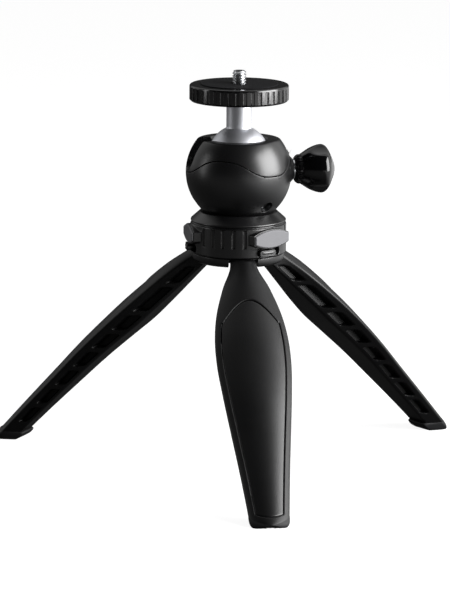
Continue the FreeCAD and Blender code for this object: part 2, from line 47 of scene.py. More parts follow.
legSides = ("front", "right", "left")
print("frame loaded:", len(nodes), "nodes")


class Wire:
    # one socket of a node tree; sums on it add Math nodes
    def __init__(self, maker, socket):
        self.maker = maker
        self.socket = socket

    def math(self, operation, other):
        return self.maker.add("ShaderNodeMath", {"operation": operation}, (self, other))

    def __add__(self, other):
        return self.math("ADD", other)

    def __radd__(self, other):
        return self.math("ADD", other)

    def __sub__(self, other):
        return self.math("SUBTRACT", other)

    def __rsub__(self, other):
        return self.maker.add("ShaderNodeMath", {"operation": "SUBTRACT"}, (other, self))

    def __mul__(self, other):
        return self.math("MULTIPLY", other)

    def __rmul__(self, other):
        return self.math("MULTIPLY", other)


class NodeMaker:
    # fills one node tree: a node's settings are set before the values or links of its sockets
    def __init__(self, tree, outputKind):
        self.tree = tree
        tree.nodes.clear()
        self.output = tree.nodes.new(outputKind)

    def add(self, kind, settings, values, output=0):
        node = self.tree.nodes.new(kind)
        for key, value in settings.items():
            setattr(node, key, value)
        pairs = values.items() if isinstance(values, dict) else enumerate(values)
        for key, value in pairs:
            self.feed(node.inputs[key], value)
        return Wire(self, node.outputs[output])

    def feed(self, socket, value):
        if isinstance(value, Wire):
            self.tree.links.new(value.socket, socket)
        else:
            socket.default_value = value

    def show(self, surface):
        self.feed(self.output.inputs["Surface"], surface)

    def ray(self, kind):
        # 1 for a ray of this kind and 0 for any other
        return self.add("ShaderNodeLightPath", {}, {}, kind)

    def between(self, share, low, high):
        return self.add("ShaderNodeMix", {}, {0: share, 2: low, 3: high})

    def alongAxis(self, place, axis, start, end, least, most):
        # a smooth step from the least to the most, by how far a place lies along an axis
        reach = self.add("ShaderNodeVectorMath", {"operation": "DOT_PRODUCT"}, {0: place, 1: axis}, "Value")
        return self.add("ShaderNodeMapRange", {"interpolation_type": "SMOOTHSTEP"},
                        {"Value": reach, "From Min": start, "From Max": end, "To Min": least, "To Max": most})


class Finish(NodeMaker):
    # a material with one Principled shader, read on Object coordinates
    def __init__(self, name):
        self.material = bpy.data.materials.new(name)
        self.material.use_nodes = True
        super().__init__(self.material.node_tree, "ShaderNodeOutputMaterial")
        self.shader = self.tree.nodes.new("ShaderNodeBsdfPrincipled")
        self.surface = Wire(self, self.shader.outputs[0])
        self.show(self.surface)
        self.place = self.add("ShaderNodeTexCoord", {}, {}, "Object")

    def stretched(self, scale):
        return self.add("ShaderNodeMapping", {}, {"Vector": self.place, "Scale": scale})

    def noise(self, scale, detail, vector=None):
        return self.add("ShaderNodeTexNoise", {}, {"Vector": vector or self.place, "Scale": scale,
                                                   "Detail": detail}, "Fac")

    def blend(self, share, dark, light):
        return self.add("ShaderNodeMix", {"data_type": "RGBA"}, {0: share, 6: dark, 7: light}, 2)

    def bumps(self, height, distance, strength):
        return self.add("ShaderNodeBump", {}, {"Height": height, "Distance": distance, "Strength": strength},
                        "Normal")

    def set(self, **sockets):
        names = {"colour": "Base Color", "roughness": "Roughness", "metallic": "Metallic", "normal": "Normal",
                 "specular": "Specular IOR Level"}
        for key, value in sockets.items():
            self.feed(self.shader.inputs[names[key]], value)
        return self.material


def tone(r, g, b):
    return (r, g, b, 1.0)


plasticLooks = {
    "satinHousing": {"dark": tone(0.0026, 0.0026, 0.0029), "light": tone(0.0036, 0.0036, 0.0040),
                     "rough": 0.33, "spread": 0.04, "shine": 0.75, "grain": 6000, "grainDepth": 0.000004},
    "satinLeg": {"dark": tone(0.0014, 0.0014, 0.0016), "light": tone(0.0026, 0.0026, 0.0029),
                 "rough": 0.44, "spread": 0.06, "shine": 0.34, "grain": 5200, "grainDepth": 0.000010},
    "satinPanel": {"dark": tone(0.0012, 0.0012, 0.0014), "light": tone(0.0022, 0.0022, 0.0025),
                   "rough": 0.36, "spread": 0.05, "shine": 0.50, "grain": 6500, "grainDepth": 0.000006},
    "glossBlack": {"dark": tone(0.0011, 0.0011, 0.0013), "light": tone(0.0016, 0.0016, 0.0018),
                   "rough": 0.14, "spread": 0.03, "shine": 0.50, "grain": 2500, "grainDepth": 0.000002},
    "discBlack": {"dark": tone(0.0016, 0.0016, 0.0018), "light": tone(0.0026, 0.0026, 0.0029),
                  "rough": 0.20, "spread": 0.04, "shine": 0.75, "grain": 6000, "grainDepth": 0.000002},
    "padGrey": {"dark": tone(0.155, 0.155, 0.164), "light": tone(0.182, 0.182, 0.191),
                "rough": 0.50, "spread": 0.05, "shine": 0.40, "grain": 5000, "grainDepth": 0.000010},
    "nylonWhite": {"dark": tone(0.66, 0.65, 0.60), "light": tone(0.74, 0.73, 0.68),
                   "rough": 0.48, "spread": 0.06, "shine": 0.50, "grain": 3500, "grainDepth": 0.000012},
}
# Noises are (scale, detail); shares and strengths have no unit
moulding = {"cloud": (70, 3), "smear": (420, 4), "smearShare": 0.6, "grainDetail": 1, "strength": 0.6}


def mouldedPlastic(name, look):
    # colour by a soft cloud, roughness by cloud and smears round its middle value, and a fine grain as bumps
    finish = Finish(name)
    cloud = finish.noise(*moulding["cloud"])
    smear = finish.noise(*moulding["smear"])
    grain = finish.noise(look["grain"], moulding["grainDetail"])
    rough = look["rough"] + (cloud - 0.5) * look["spread"] \
        + (smear - 0.5) * (look["spread"] * moulding["smearShare"])
    bumps = finish.bumps(grain, look["grainDepth"], moulding["strength"])
    return finish.set(colour=finish.blend(cloud, look["dark"], look["light"]), roughness=rough,
                      specular=look["shine"], normal=bumps)


metalLooks = {
    "satinAluminium": {"dark": tone(0.70, 0.71, 0.75), "light": tone(0.78, 0.79, 0.83), "rough": 0.46,
                       "rings": 2600, "ringDepth": 0.0000012},
    "coreAluminium": {"dark": tone(0.50, 0.51, 0.53), "light": tone(0.62, 0.63, 0.65), "rough": 0.40,
                      "rings": 3200, "ringDepth": 0.000004},
    "brightSteel": {"dark": tone(0.62, 0.63, 0.65), "light": tone(0.74, 0.75, 0.77), "rough": 0.22,
                    "rings": 3000, "ringDepth": 0.000001},
    "turnedBrass": {"dark": tone(0.60, 0.45, 0.20), "light": tone(0.74, 0.58, 0.30), "rough": 0.30,
                    "rings": 4000, "ringDepth": 0.000003},
}
turning = {"squeeze": (0.06, 0.06, 1.0), "ringDetail": 2, "cloud": (120, 3), "cloudSpread": 0.05,
           "ringSpread": 0.06, "strength": 0.5}


def turnedMetal(name, look):
    # fine lathe lines: a noise drawn out across the column's axis, so that it changes mostly along it
    finish = Finish(name)
    lines = finish.noise(look["rings"], turning["ringDetail"], finish.stretched(turning["squeeze"]))
    cloud = finish.noise(*turning["cloud"])
    rough = look["rough"] + (cloud - 0.5) * turning["cloudSpread"] + (lines - 0.5) * turning["ringSpread"]
    return finish.set(colour=finish.blend(cloud, look["dark"], look["light"]), metallic=1.0, roughness=rough,
                      normal=finish.bumps(lines, look["ringDepth"], turning["strength"]))


rubberLooks = {
    "soleRubber": {"dark": tone(0.006, 0.006, 0.007), "light": tone(0.011, 0.011, 0.012), "rough": 0.62,
                   "shine": 0.35, "grainDepth": 0.00003},
    "seatRubber": {"dark": tone(0.004, 0.004, 0.005), "light": tone(0.008, 0.008, 0.009), "rough": 0.80,
                   "shine": 0.12, "grainDepth": 0.00001},
}
rubber = {"cloud": (160, 4), "grain": (3000, 2), "spread": 0.14, "strength": 0.8}


def softRubber(name, look):
    # colour and roughness by one cloud, and a grain as bumps
    finish = Finish(name)
    cloud = finish.noise(*rubber["cloud"])
    grain = finish.noise(*rubber["grain"])
    return finish.set(colour=finish.blend(cloud, look["dark"], look["light"]),
                      roughness=look["rough"] + (cloud - 0.5) * rubber["spread"], specular=look["shine"],
                      normal=finish.bumps(grain, look["grainDepth"], rubber["strength"]))


finishes = {name: mouldedPlastic(name, look) for name, look in plasticLooks.items()}
finishes.update({name: turnedMetal(name, look) for name, look in metalLooks.items()})
finishes.update({name: softRubber(name, look) for name, look in rubberLooks.items()})
print("materials made:", len(finishes))

slotFinish = {"satin_black": "satinHousing", "leg_black": "satinLeg", "panel_black": "satinPanel",
              "gloss_black": "glossBlack", "pad_grey": "padGrey", "sole_rubber": "soleRubber",
              "top_rubber": "seatRubber", "ball_aluminium": "satinAluminium",
              "core_aluminium": "coreAluminium", "steel": "brightSteel", "brass": "turnedBrass",
              "nylon": "nylonWhite"}
nodeFinish = {"camera_disc": "discBlack"}  # nodes whose finish isn't their slot's
nodeSlot = {part["node"]: part["material_slot"] for part in frame["record"]["subparts"]}
bodyOf = {node: body for body, names in frame["record"]["behaviour"]["bodies"].items() for node in names}


def dress(mesh, node):
    # the node's finish as the mesh's only material
    mesh.materials.clear()
    mesh.materials.append(finishes[nodeFinish.get(node, slotFinish[nodeSlot[node]])])


for node in nodeSlot:
    dress(nodes[node].data, node)


def meshPoints(mesh):
    # a mesh's points in metres
    flat = np.empty(len(mesh.vertices) * 3)
    mesh.vertices.foreach_get("co", flat)
    return flat.reshape(-1, 3)


def nodePoints(node):
    # a node's points in millimetres
    return meshPoints(nodes[node].data) * 1000


def steadyNormals(mesh):
    # smooth shading by area, in which wide faces outweigh the narrow faces of their rounded edges
    count = len(mesh.polygons)
    normals = np.empty(count * 3)
    areas = np.empty(count)
    sizes = np.empty(count, dtype=int)
    corners = np.empty(len(mesh.loops), dtype=int)
    mesh.polygons.foreach_get("normal", normals)
    mesh.polygons.foreach_get("area", areas)
    mesh.polygons.foreach_get("loop_total", sizes)
    mesh.loops.foreach_get("vertex_index", corners)
    weighted = np.repeat(normals.reshape(-1, 3) * areas[:, None], sizes, axis=0)
    sums = np.zeros((len(mesh.vertices), 3))
    np.add.at(sums, corners, weighted)
    shortest = 1e-20  # so that a point without faces isn't divided by zero
    sums /= np.maximum(np.linalg.norm(sums, axis=1), shortest)[:, None]
    mesh.shade_smooth()
    mesh.normals_split_custom_set_from_vertices(sums.tolist())


def addPiece(name, mesh, node):
    # a piece with a CAD node's finish and body
    piece = bpy.data.objects.new(name, mesh)
    scene.collection.objects.link(piece)
    dress(mesh, node)
    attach(piece, bodyOf[node])
    return piece


def replaceNode(name, mesh, node, crease=None):
    # a piece that takes the place of a CAD node, with edges over the crease angle kept sharp
    if crease:
        mesh.set_sharp_from_angle(angle=math.radians(crease))
    piece = addPiece(name, mesh, node)
    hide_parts(node)


# Lengths in millimetres and angles in degrees
softening = {"merge": 0.002, "flat": 0.4, "sharp": 28, "segments": 3, "profile": 0.5, "mostCorners": 4}


def softened(node, width):
    # a copy of a node, merged, with each sharp edge rounded by a width in millimetres
    shape = bmesh.new()
    shape.from_mesh(nodes[node].data)
    bmesh.ops.remove_doubles(shape, verts=shape.verts, dist=softening["merge"] * 0.001)
    bmesh.ops.dissolve_limit(shape, angle_limit=math.radians(softening["flat"]), verts=shape.verts,
                             edges=shape.edges, use_dissolve_boundaries=False, delimit=set())
    sharp = [edge for edge in shape.edges if edge.calc_face_angle(0) > math.radians(softening["sharp"])]
    bmesh.ops.bevel(shape, geom=sharp, offset=width * 0.001, offset_type="OFFSET", affect="EDGES",
                    segments=softening["segments"], profile=softening["profile"], clamp_overlap=False)
    wide = [face for face in shape.faces if len(face.verts) > softening["mostCorners"]]
    bmesh.ops.triangulate(shape, faces=wide)
    mesh = bpy.data.meshes.new(node + "_soft")
    shape.to_mesh(mesh)
    shape.free()
    steadyNormals(mesh)
    replaceNode(node + "_soft", mesh, node)


softWidths = {"leg_hub": 0.25, "grip_ring": 0.28, "pan_flange": 0.25, "pan_lock_ring": 0.2,
              "upper_shell": 0.22, "lower_shell": 0.22, "camera_disc": 0.15, "disc_pad": 0.3}
softWidths.update({"leg_eye_" + side: 0.25 for side in legSides})
softWidths.update({"grip_pad_" + side: 0.12 for side in ("back_right", "left", "front_right")})
for node, width in softWidths.items():
    softened(node, width)

hubLower = {"under": 2.6, "drop": 1.0}


def deepenHub():
    # the hub's brim reaches further down: heights under the legs' stop stretch away from it
    mesh = bpy.data.objects["leg_hub_soft"].data
    points = meshPoints(mesh)
    under = hubLower["under"] * 0.001
    stop = points[:, 2].min() + under
    share = np.maximum(stop - points[:, 2], 0) / under
    points[:, 2] -= share * hubLower["drop"] * 0.001
    mesh.vertices.foreach_set("co", points.ravel())
    mesh.update()
    steadyNormals(mesh)


deepenHub()
print("edges softened:", len(softWidths))


def makeMesh(name, points, faceArrays):
    # points in millimetres; each array of faces has its own number of corners
    mesh = bpy.data.meshes.new(name)
    corners = np.concatenate([faces.ravel() for faces in faceArrays])
    sizes = np.concatenate([np.full(len(faces), faces.shape[1]) for faces in faceArrays])
    starts = np.cumsum(sizes) - sizes
    mesh.vertices.add(len(points))
    mesh.vertices.foreach_set("co", (points * 0.001).ravel())
    mesh.loops.add(len(corners))
    mesh.loops.foreach_set("vertex_index", corners.astype(np.int32))
    mesh.polygons.add(len(sizes))
    mesh.polygons.foreach_set("loop_start", starts.astype(np.int32))
    mesh.update(calc_edges=True)
    mesh.shade_smooth()
    return mesh


def ringQuads(count, steps):
    # the faces between neighbouring rings, each ring closed on itself
    here = np.arange(steps)
    beside = (here + 1) % steps
    row = np.arange(count - 1)[:, None] * steps
    return np.stack([row + here, row + beside, row + steps + beside, row + steps + here], -1).reshape(-1, 4)


def closedSkin(name, rings):
    # rings[ring, step, xyz]: neighbours are joined, and a pole closes the first and the last ring
    count, steps = rings.shape[:2]
    here = np.arange(steps)
    beside = (here + 1) % steps
    last = (count - 1) * steps
    first = np.stack([np.full(steps, count * steps), beside, here], 1)
    end = np.stack([np.full(steps, count * steps + 1), last + here, last + beside], 1)
    points = np.concatenate([rings.reshape(-1, 3), rings[[0, -1]].mean(axis=1)])
    return makeMesh(name, points, [ringQuads(count, steps), first, end])


def zippedSkin(name, rings):
    # rings whose second half lies under the first: the two ends are closed straight across
    count, steps = rings.shape[:2]
    i = np.arange(steps // 2 - 1)
    first = np.stack([i + 1, i, steps - 1 - i, steps - 2 - i], 1)
    last = first[:, ::-1] + (count - 1) * steps
    return makeMesh(name, rings.reshape(-1, 3), [ringQuads(count, steps), np.concatenate([first, last])])


def turnedRings(profile, steps):
    # a profile of (radius, height) turned about the column's axis
    angle = np.linspace(0, 2 * np.pi, steps, endpoint=False)
    profile = np.asarray(profile)
    radius, height = profile[:, :1], profile[:, 1:]
    return np.stack([radius * np.cos(angle), radius * np.sin(angle), height + 0 * angle], -1)


def arc(centre, radius, start, end, count):
    # points on a circle from one angle in degrees to another
    angle = np.radians(np.linspace(start, end, count))
    return [(centre[0] + radius * math.cos(a), centre[1] + radius * math.sin(a)) for a in angle]


near = {"end": 0.1, "wall": 0.05}  # how close a node's point lies to be one of an end's or of a bore's wall
ball = {"centre": joints["side_tilt"]["pos_m"][2] * 1000, "fillet": 0.9, "edge": 0.25, "seatGap": 0.03,
        "pole": -89.7, "boreTip": 0.4, "neckFrom": 0.2, "neckTo": 0.5, "steps": 160, "ballRows": 90,
        "filletRows": 10, "neckRows": 24, "edgeRows": 5}


def makeBallStem():
    # a ball, a small hollow fillet, the neck up to the disc and the screw's bore down its middle
    stem = nodePoints("ball_stem")
    centre, fillet, edge = ball["centre"], ball["fillet"], ball["edge"]
    radii = np.hypot(stem[:, 0], stem[:, 1])
    end = stem[:, 2].max()
    atEnd = stem[:, 2] > end - near["end"]
    neckRadius, bore = radii[atEnd].max(), radii[atEnd].min()
    floor = stem[(np.abs(radii - bore) < near["wall"]) & (stem[:, 2] > centre), 2].min()
    ballRadius = centre - stem[:, 2].min()
    side = neckRadius + fillet
    rise = math.sqrt((ballRadius + fillet) ** 2 - side ** 2)
    meet = math.degrees(math.atan2(rise, side))
    top = end - ball["seatGap"]
    profile = arc((0, centre), ballRadius, ball["pole"], meet, ball["ballRows"])
    profile += arc((side, centre + rise), fillet, meet + 180, 180, ball["filletRows"])[1:]
    profile += [(neckRadius, z) for z in
                np.linspace(centre + rise + ball["neckFrom"], top - ball["neckTo"], ball["neckRows"])]
    profile += arc((neckRadius - edge, top - edge), edge, 0, 90, ball["edgeRows"])
    profile += [(bore, top), (bore, floor), (ball["boreTip"], floor)]
    replaceNode("ballStem", closedSkin("ballStem", turnedRings(profile, ball["steps"])), "ball_stem")


makeBallStem()

# The thread's flank rises from its root to its crest between two shares of half a pitch
thread = {"pitch": 1.27, "depth": 0.62, "chamfer": 0.75, "rootTo": 0.22, "crestFrom": 0.86, "clear": 0.02,
          "tipShare": 0.12, "rows": 150, "steps": 96, "crease": 35}


def makeCameraScrew():
    # a right-handed thread: radius by height and turn, cut back at the tip by a cone
    screw = nodePoints("camera_screw")
    major = np.hypot(screw[:, 0], screw[:, 1]).max()
    low, tip = screw[:, 2].min(), screw[:, 2].max()
    seat = nodePoints("disc_insert")[:, 2].max() + thread["clear"]
    heights = np.concatenate([[low, seat - thread["clear"]], np.linspace(seat, tip, thread["rows"])])
    angle = np.linspace(0, 2 * np.pi, thread["steps"], endpoint=False)
    z, a = np.meshgrid(heights, angle, indexing="ij")
    phase = (z / thread["pitch"] - a / (2 * np.pi)) % 1.0
    ridge = 1 - np.abs(2 * phase - 1)
    rise = np.clip((ridge - thread["rootTo"]) / (thread["crestFrom"] - thread["rootTo"]), 0, 1)
    outer = major - thread["depth"] * (1 - rise)
    outer = np.minimum(outer, major - thread["chamfer"] + (tip - z))
    outer[:2] = major - thread["depth"]  # the plain shank inside the disc
    rings = np.stack([outer * np.cos(a), outer * np.sin(a), z], -1)
    end = rings[-1:] * [thread["tipShare"], thread["tipShare"], 1]
    mesh = closedSkin("cameraScrew", np.concatenate([rings, end]))
    replaceNode("cameraScrew", mesh, "camera_screw", thread["crease"])


makeCameraScrew()

knobAxis = np.array(joints["knob_turn"]["axis"])
knobHeight = joints["knob_turn"]["pos_m"][2] * 1000
knob = {"neckLength": 2.8, "neckRadius": 6.7, "neckRound": 2.2, "neckDrop": 2.4, "neckFrom": 0.1,
        "teeth": 18, "toothDepth": 0.55, "toothSlope": 2.2, "toothEnd": 0.3, "toothFade": 0.5,
        "flutes": 3, "fluteTurn": -124, "fluteRadius": 12.0, "fluteDepth": 1.6, "soften": 0.30,
        "capShare": 0.35, "crease": 50, "roundRows": 12, "neckRows": 5, "bulbRows": 70, "steps": 360,
        "shares": [0.0, 0.10, 0.22, 0.40, 0.55, 0.66, 0.76, 0.85, 0.92, 0.97, 1.0],
        "widths": [0.61, 0.70, 0.81, 0.93, 0.99, 0.995, 0.91, 0.71, 0.50, 0.34, 0.20]}


def smoothCurve(x, knotX, knotY):
    # a curve through the knots whose slope at each is the mean of its neighbours' slopes
    knotX, knotY = np.asarray(knotX), np.asarray(knotY)
    slope = np.gradient(knotY, knotX)
    k = np.clip(np.searchsorted(knotX, x) - 1, 0, len(knotX) - 2)
    width = knotX[k + 1] - knotX[k]
    t = (x - knotX[k]) / width
    h0, h1 = (1 + 2 * t) * (1 - t) ** 2, t * (1 - t) ** 2
    g0, g1 = t ** 2 * (3 - 2 * t), t ** 2 * (t - 1)
    return knotY[k] * h0 + slope[k] * width * h1 + knotY[k + 1] * g0 + slope[k + 1] * width * g1


def softMin(a, b, width):
    # the smaller of two sizes, with a rounded change from one to the other
    return (a + b - np.sqrt((a - b) ** 2 + width ** 2)) / 2


def knobRadii(start, end, widest, turn):
    # distances along the knob, and its radius by distance and turn: a rounded neck with teeth, then a bulb
    # whose outline is cut by round flutes
    neckEnd = start + knob["neckLength"]
    rounded = start + knob["neckRound"]
    quarter = np.linspace(0, np.pi / 2, knob["roundRows"])
    neckX = np.concatenate([start + knob["neckRound"] * (1 - np.cos(quarter)),
                            np.linspace(rounded + knob["neckFrom"], neckEnd, knob["neckRows"])])
    share = np.linspace(0, 1, knob["bulbRows"])
    x = np.concatenate([neckX, (neckEnd + share * (end - neckEnd))[1:]])
    inside = np.clip((rounded - neckX) / knob["neckRound"], 0, 1)
    neckR = knob["neckRadius"] - knob["neckDrop"] * (1 - np.sqrt(1 - inside ** 2))
    bulbR = smoothCurve(share, knob["shares"], knob["widths"]) * widest
    outline = np.concatenate([neckR, bulbR[1:]])[:, None]

    pitch = 2 * np.pi / knob["flutes"]
    away = (turn - math.radians(knob["fluteTurn"]) + pitch / 2) % pitch - pitch / 2
    offset = widest - knob["fluteDepth"] + knob["fluteRadius"]
    root = np.maximum(knob["fluteRadius"] ** 2 - (offset * np.sin(away)) ** 2, 0)
    flute = np.where(root > 0, offset * np.cos(away) - np.sqrt(root), 2 * widest)
    radii = np.where(x[:, None] > neckEnd, softMin(outline, flute, knob["soften"]), outline)

    wave = 0.5 - 0.5 * np.cos(turn * knob["teeth"])
    tooth = np.clip(knob["toothSlope"] * wave - 1.0, 0, 1)
    neckShare = np.clip((neckEnd + knob["toothEnd"] - x) / knob["toothFade"], 0, 1)[:, None]
    return x, radii - neckShare * knob["toothDepth"] * tooth


def makeKnob():
    # the knob's radii set round its axis, closed by a small cap and by the screw's bore
    points = nodePoints("lock_knob") - [0, 0, knobHeight]
    along = points @ knobAxis
    fromAxis = np.linalg.norm(points - along[:, None] * knobAxis, axis=1)
    start = along.min()
    turn = np.linspace(0, 2 * np.pi, knob["steps"], endpoint=False)[None, :]
    x, radii = knobRadii(start, along.max(), fromAxis.max(), turn)
    up = np.array([0, 0, 1])
    side = np.cross(up, knobAxis)
    place = x[:, None, None] * knobAxis + radii[..., None] * (
        np.cos(turn)[..., None] * side + np.sin(turn)[..., None] * up) + [0, 0, knobHeight]
    cap = place[-1:] * knob["capShare"] + place[-1:].mean(axis=1, keepdims=True) * (1 - knob["capShare"])

    bore = fromAxis[along < start + near["end"]].min()
    depth = along[np.abs(fromAxis - bore) < near["wall"]].max()
    mouth = place[:1].mean(axis=1, keepdims=True)
    outward = place[:1] - mouth
    hole = mouth + outward / np.linalg.norm(outward, axis=2, keepdims=True) * bore
    floor = hole + knobAxis * (depth - start)
    mesh = closedSkin("lockKnob", np.concatenate([floor, hole, place, cap])[:, ::-1])
    replaceNode("lockKnob", mesh, "lock_knob", knob["crease"])


makeKnob()
print("turned pieces made")

# The lever on each lock tab: angles from its third of the ring, and a section of (out, up) round its middle
lever = {"start": -16.4, "span": 19.8, "rings": 24, "middleUp": 2.4, "bluntness": 5, "endShare": 0.25,
         "endDrop": 0.8, "smoothing": 2,
         "section": [(-1.6, -1.2), (-0.2, -1.3), (0.12, -1.22), (0.2, -1.0), (0.1, -0.8), (-0.2, -0.7),
                     (-0.1, -0.45), (0.15, -0.1), (0.2, 0.35), (0.05, 0.8), (-0.3, 1.15), (-0.8, 1.3),
                     (-1.6, 1.3)]}


def makeLevers():
    # a section carried round an arc of the ring, which shrinks and sinks towards both ends
    outer = np.hypot(*nodePoints("pan_lock_ring").T[:2]).max()
    middle = nodePoints("grip_ring")[:, 2].min() + lever["middleUp"]
    out, up = np.array(lever["section"]).T
    share = np.linspace(0, 1, lever["rings"])
    bow = (1 - np.abs(2 * share - 1) ** lever["bluntness"]) ** 0.5
    full = (bow * (1 - lever["endShare"]) + lever["endShare"])[:, None]
    radius = outer + out - (1 - full) * lever["endDrop"]
    headTurn = math.atan2(knobAxis[1], knobAxis[0])
    for name, third in (("BackRight", 60), ("Left", 180), ("FrontRight", 300)):
        angle = (np.radians(third + lever["start"] + lever["span"] * share) + headTurn)[:, None]
        rings = np.stack([np.cos(angle) * radius, np.sin(angle) * radius, middle + up * full], -1)
        piece = addPiece("lockLever" + name, closedSkin("lockLever" + name, rings), "pan_lock_ring")
        rounder = piece.modifiers.new("smooth", "SUBSURF")
        rounder.levels = rounder.render_levels = lever["smoothing"]


makeLevers()

# A leg's sections by the share of its reach: half and inner half width are shares of halfWidth, and the
# edges' height, the bulge and the depth are shares of depthScale, both in millimetres
leg = {"halfWidth": 16.9, "depthScale": 8.8,
       "share": [0.020, 0.060, 0.150, 0.258, 0.340, 0.434, 0.543, 0.679, 0.815, 1.060],
       "half": [0.361, 0.361, 0.638, 0.894, 0.988, 1.000, 0.925, 0.794, 0.662, 0.456],
       "edge": [0.227, 0.250, 0.318, 0.341, 0.352, 0.341, 0.307, 0.193, 0.091, -0.148],
       "bulge": [0.386, 0.432, 0.580, 0.636, 0.648, 0.625, 0.591, 0.534, 0.466, 0.352],
       "depth": [0.682, 0.727, 0.864, 0.955, 1.000, 0.932, 0.852, 0.773, 0.727, 0.670],
       "inner": [0.284, 0.290, 0.388, 0.556, 0.625, 0.619, 0.562, 0.481, 0.400, 0.294],
       "start": 3.2, "edgeRound": 0.9, "toeCorner": 4.0, "cornerEnd": 0.995, "turnFrom": 0.89,
       "rounds": 4, "crease": 50}
# A leg's rows: how many lie above, under and below the panel, and how far from its ends they stop; the rim's
# rows lie at these distances inside each end
legRow = {"above": 64, "under": 250, "below": 12, "stopAbove": 1.2, "stopInside": 1.0, "stopBelow": 1.3,
          "rim": [-1.1, -0.50, -0.43, -0.12, 0.0, 0.04, 0.6]}
# The panel and its recess: rimSteps are distances from the seam, and endSteps from the panel's ends
panel = {"top": 32.5, "arch": 10.5, "archPower": 2.0, "archFade": 60.0, "end": 142.6, "margin": 2.4,
         "gap": 0.30, "recess": 1.1, "rim": 0.5, "rimDepth": 0.36, "rimPower": 1.3, "seamTouch": 1e-4,
         "step": 0.36, "edge": 0.15, "endEdge": 0.35, "thick": 0.72, "rimSteps": [0.50, 0.43, 0.12, 0.0],
         "endSteps": [0, 0.05, 0.15, 0.35], "firstRow": 0.9, "rows": 190,
         "sideShares": [1, 0.997, 0.990, 0.975, 0.95], "midShare": 0.90, "midSteps": 31}
pocket = {"firstWeb": 25.5, "longBay": 20.0, "pitch": 14.3, "count": 7, "start": 11.0, "web": 3.0,
          "upper": 0.31, "lower": 0.84, "floorInset": 1.2, "corner": 1.5, "wall": 0.9}
sole = {"height": 4.0, "toeHeight": 1.9, "toeSlope": 7.0, "overhang": 1.7, "chamfer": 2.1, "sideLip": 0.15,
        "heelLip": 1.4, "beadPower": 2.5, "lowestSwell": 0.55, "crease": 40,
        "shares": [0.0, 0.02, 0.07, 0.15, 0.28, 0.45, 0.62, 0.76, 0.87, 0.94, 0.98, 1.0]}
# The closed ring round a leg: its points as shares of the strip beside the panel, of the field under it, of
# a flank and of the inner face, with the corners' curves between them, and the smaller rings in a leg's end
ring = {"strip": [0.9, 0.6, 0.35], "besideSeam": 0.998, "fieldFrom": 0.96, "fieldSteps": 19,
        "flankFrom": 0.10, "flankTo": 0.90, "flankSteps": 25, "innerFace": 0.84, "innerSteps": 9,
        "cornerSteps": 6, "endShares": [0.93, 0.8, 0.55, 0.25]}

fold = joints["leg_fold_front"]
hinge = np.array(fold["pos_m"]) * 1000
hingeRadius, hingeHeight = math.hypot(hinge[0], hinge[1]), hinge[2]
splay = math.radians(90 - max(abs(limit) for limit in fold["range_deg"]))
dropRate, outRate = math.sin(splay), math.cos(splay)
legReach = hingeHeight / dropRate
toeX = hingeRadius + legReach * outRate + sole["overhang"]
toeEnd = float((toeX - hingeRadius) * outRate + (hingeHeight - sole["toeHeight"]) * dropRate)


def smoothStep(x):
    # from 0 to 1 with a level start and end: three squares less two cubes
    x = np.clip(x, 0, 1)
    return x * x * (3 - 2 * x)


def legSection(along):
    # half width, edge, bulge, depth and inner half width at any distances along the leg
    share = along / legReach
    across, deep = leg["halfWidth"], leg["depthScale"]
    sizes = {"half": across, "edge": deep, "bulge": deep, "depth": deep, "inner": across}
    return [smoothCurve(share, leg["share"], leg[key]) * size for key, size in sizes.items()]


def legPlace(along, across, out, azimuth):
    # along the leg, across it and out from its axis, turned to the leg's direction
    x = hingeRadius + along * outRate + out * dropRate
    z = hingeHeight - along * dropRate + out * outRate
    return np.stack([x * math.cos(azimuth) - across * math.sin(azimuth),
                     x * math.sin(azimuth) + across * math.cos(azimuth), z], -1)


def legEnd(out):
    # how far along the leg its body reaches down to the sole, which is level and then slopes to the toe
    rate = (sole["height"] - sole["toeHeight"]) / sole["toeSlope"]
    level = (hingeHeight + out * outRate - sole["height"]) / dropRate
    above = hingeHeight + out * outRate - sole["height"] + rate * (
        hingeRadius + out * dropRate - toeX + sole["toeSlope"])
    return np.maximum(level, above / (dropRate - rate * outRate))


def soleEnd(out):
    # how far along the leg the sole reaches: the floor, the chamfer under the toe and the toe itself
    rate = sole["toeHeight"] / sole["chamfer"]
    ground = (hingeHeight + out * outRate) / dropRate
    under = (hingeHeight + out * outRate - rate * (hingeRadius + out * dropRate - toeX + sole["chamfer"])) / (
        dropRate + rate * outRate)
    return np.minimum(np.minimum(ground, under), (toeX - hingeRadius - out * dropRate) / outRate)


def toeWidth(along, half):
    # the round corners of the toe: how much the width keeps, by a quarter circle at each corner
    corner = leg["toeCorner"]
    past = np.clip((along - toeEnd + corner) / corner, 0, leg["cornerEnd"])
    return 1 - corner / half * (1 - np.sqrt(1 - past ** 2))


def archLift(rows):
    # how far the panel's arch shifts a row's sides down the leg: it grows to the panel's top, then fades
    grown = np.clip(rows / panel["top"], 0, 1) ** 2
    faded = smoothStep((panel["top"] + panel["archFade"] - rows) / panel["archFade"])
    return np.where(rows < panel["top"], grown, faded)[:, None] * panel["arch"]


def endTurn(rows):
    # how far each row has turned, 0 to 1, from square across the leg to level with the leg's end
    return smoothStep((rows / toeEnd - leg["turnFrom"]) / (1 - leg["turnFrom"]))[:, None]


